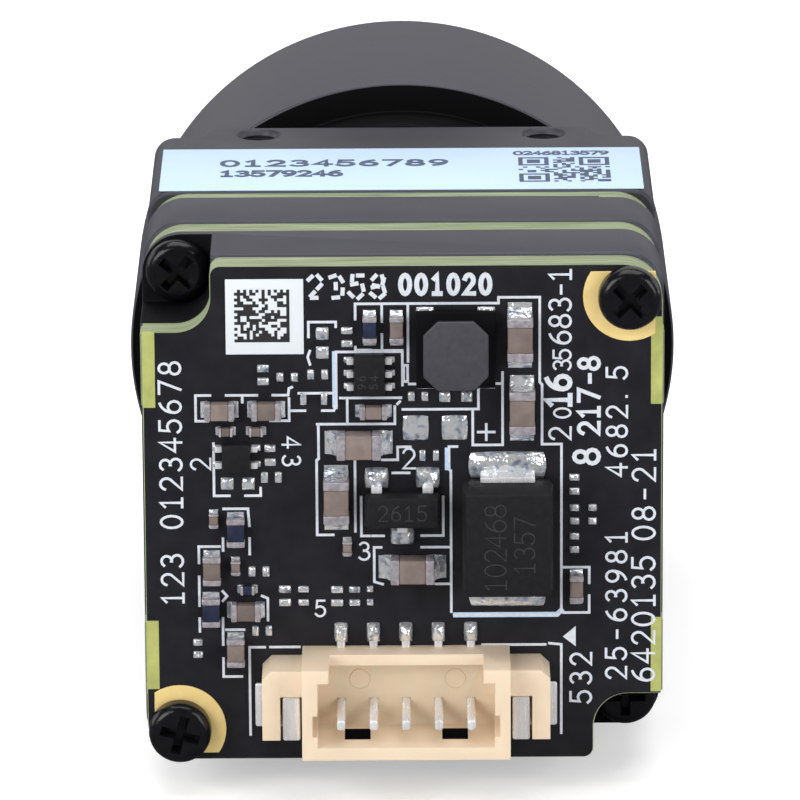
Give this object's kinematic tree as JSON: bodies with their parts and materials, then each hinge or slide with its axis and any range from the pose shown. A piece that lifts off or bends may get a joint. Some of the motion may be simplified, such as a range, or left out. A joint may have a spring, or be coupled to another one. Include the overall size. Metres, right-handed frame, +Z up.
{
  "type": "thermal camera module",
  "caption": "Unenclosed infrared camera core: square board stack with a rear wire header, a front housing and a round lens barrel.",
  "frame": {"origin": "on the optical axis, at the shoulder where the wide lens barrel begins", "axes": "+Y along the optical axis towards the lens front, +Z up on the labelled side, +X right seen from the wire header"},
  "size_m": [0.0226, 0.0369, 0.0226],
  "materials": {
    "solder_mask": "satin black solder mask over glass-epoxy board",
    "gold_plate": "thin gold plating",
    "painted_alloy": "dark grey anodised alloy",
    "label_film": "pale matt label film",
    "black_steel": "blackened steel",
    "blade_steel": "thin matt black steel",
    "ivory_plastic": "moulded nylon",
    "tinned_metal": "tin plating and solder",
    "ceramic_body": "fired ceramic",
    "dark_window": "coated infrared window, opaque to the eye",
    "black_plastic": "moulded epoxy",
    "capacitor_ceramic": "brown fired ceramic",
    "dark_ceramic": "dark fired ceramic",
    "ferrite": "grey ferrite",
    "copper_wire": "enamelled copper wire",
    "seal_rubber": "black elastomer"
  },
  "bodies": {
    "module": {"rear_board": "solder_mask", "middle_board": "solder_mask", "sensor_board": "solder_mask", "ground_rings": "gold_plate", "rear_frame": "painted_alloy", "middle_frame": "painted_alloy", "front_housing": "painted_alloy", "top_label": "label_film", "code_sticker": "label_film", "long_screws": "black_steel", "short_screws": "black_steel", "connector_housing": "ivory_plastic", "connector_pins": "tinned_metal", "connector_nails": "tinned_metal", "detector_package": "ceramic_body", "detector_window": "dark_window", "shutter_plate": "black_steel", "shutter_motor": "black_plastic", "rear_stack_socket": "black_plastic", "rear_stack_plug": "black_plastic", "front_stack_socket": "black_plastic", "front_stack_plug": "black_plastic", "image_processor": "black_plastic", "memory_chip": "black_plastic", "capacitor_bodies": "capacitor_ceramic", "capacitor_ends": "tinned_metal", "resistor_bodies": "dark_ceramic", "resistor_ends": "tinned_metal", "surge_diode": "black_plastic", "surge_diode_leads": "tinned_metal", "power_transistor": "black_plastic", "power_transistor_leads": "tinned_metal", "regulator": "black_plastic", "regulator_leads": "tinned_metal", "load_switch": "black_plastic", "load_switch_leads": "tinned_metal", "power_inductor": "ferrite", "inductor_winding": "copper_wire", "solder_pads": "tinned_metal", "lens_barrel": "painted_alloy", "front_lens": "dark_window", "rear_lens": "dark_window", "lens_spacer": "painted_alloy", "retaining_ring": "painted_alloy", "lens_seal": "seal_rubber"},
    "shutter": {"shutter_blade": "blade_steel", "shutter_shaft": "tinned_metal"}
  },
  "joints": [
    {"name": "shutter_swing", "type": "hinge", "parent": "module", "child": "shutter", "pos_m": [0.0062, -0.00885, -0.0021], "axis": [0, -1, 0], "range_deg": [0, 52.5]}
  ]
}
